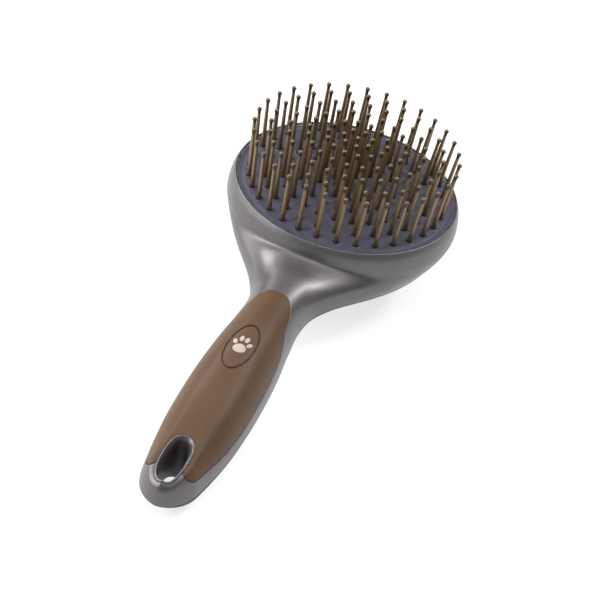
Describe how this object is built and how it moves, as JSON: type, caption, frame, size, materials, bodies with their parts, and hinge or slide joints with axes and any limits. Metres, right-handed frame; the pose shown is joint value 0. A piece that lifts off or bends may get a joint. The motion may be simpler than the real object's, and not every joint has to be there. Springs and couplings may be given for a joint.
{
  "type": "bristle brush",
  "caption": "Round-headed grooming brush with tapered ball-tipped pins in a domed rubber cushion, a bowl-shaped shell and a thick soft-grip handle with a hanging hole.",
  "frame": {"origin": "centre of the small flat under the head, on the brush's back", "axes": "+Z out of the pin side, +Y from the handle's end to the head, +X to the right seen from the pin side with the head up"},
  "size_m": [0.0954, 0.2303, 0.062],
  "materials": {
    "shell": "satin metallic silver-grey",
    "grip": "matte soft-touch brown",
    "badge": "satin brown",
    "cushion": "matte navy grey",
    "clamp": "moulded black",
    "pins": "satin bronze"
  },
  "bodies": {
    "root": {"front_shell": "shell", "back_shell": "shell", "front_grip": "grip", "back_grip": "grip", "oval_badge": "badge", "cushion_pad": "cushion", "cushion_ring": "clamp"},
    "pin_centre": {"pin_centre": "pins"},
    "pin_ring_1": {"pin_ring_1": "pins"},
    "pin_ring_2": {"pin_ring_2": "pins"},
    "pin_ring_3": {"pin_ring_3": "pins"},
    "pin_ring_4": {"pin_ring_4": "pins"},
    "pin_ring_5": {"pin_ring_5": "pins"},
    "pin_ring_6": {"pin_ring_6": "pins"}
  },
  "joints": [
    {"name": "ring_3_press", "type": "slide", "parent": "root", "child": "pin_ring_3", "axis": [0, 0, 1], "range_m": [-0.00164, 0], "stiffness_N_per_m": 1068.3, "springref_m": 0.0003, "deforming": ["cushion_pad"]},
    {"name": "centre_press", "type": "slide", "parent": "root", "child": "pin_centre", "axis": [0, 0, 1], "range_m": [-0.00201, 0], "stiffness_N_per_m": 100, "springref_m": 0.0003},
    {"name": "ring_1_press", "type": "slide", "parent": "root", "child": "pin_ring_1", "axis": [0, 0, 1], "range_m": [-0.00197, 0], "stiffness_N_per_m": 438.7, "springref_m": 0.0003},
    {"name": "ring_2_press", "type": "slide", "parent": "root", "child": "pin_ring_2", "axis": [0, 0, 1], "range_m": [-0.00187, 0], "stiffness_N_per_m": 784.5, "springref_m": 0.0003},
    {"name": "ring_4_press", "type": "slide", "parent": "root", "child": "pin_ring_4", "axis": [0, 0, 1], "range_m": [-0.00132, 0], "stiffness_N_per_m": 1253.9, "springref_m": 0.0003},
    {"name": "ring_5_press", "type": "slide", "parent": "root", "child": "pin_ring_5", "axis": [0, 0, 1], "range_m": [-0.000883, 0], "stiffness_N_per_m": 1437.5, "springref_m": 0.0003},
    {"name": "ring_6_press", "type": "slide", "parent": "root", "child": "pin_ring_6", "axis": [0, 0, 1], "range_m": [-0.000429, 0], "stiffness_N_per_m": 1619.4, "springref_m": 0.0003}
  ],
  "couplings": [
    {"joint": "centre_press", "follows": "ring_3_press", "ratio": 1.218},
    {"joint": "ring_1_press", "follows": "ring_3_press", "ratio": 1.1986},
    {"joint": "ring_2_press", "follows": "ring_3_press", "ratio": 1.1348},
    {"joint": "ring_4_press", "follows": "ring_3_press", "ratio": 0.7984},
    {"joint": "ring_5_press", "follows": "ring_3_press", "ratio": 0.5354},
    {"joint": "ring_6_press", "follows": "ring_3_press", "ratio": 0.2596}
  ]
}
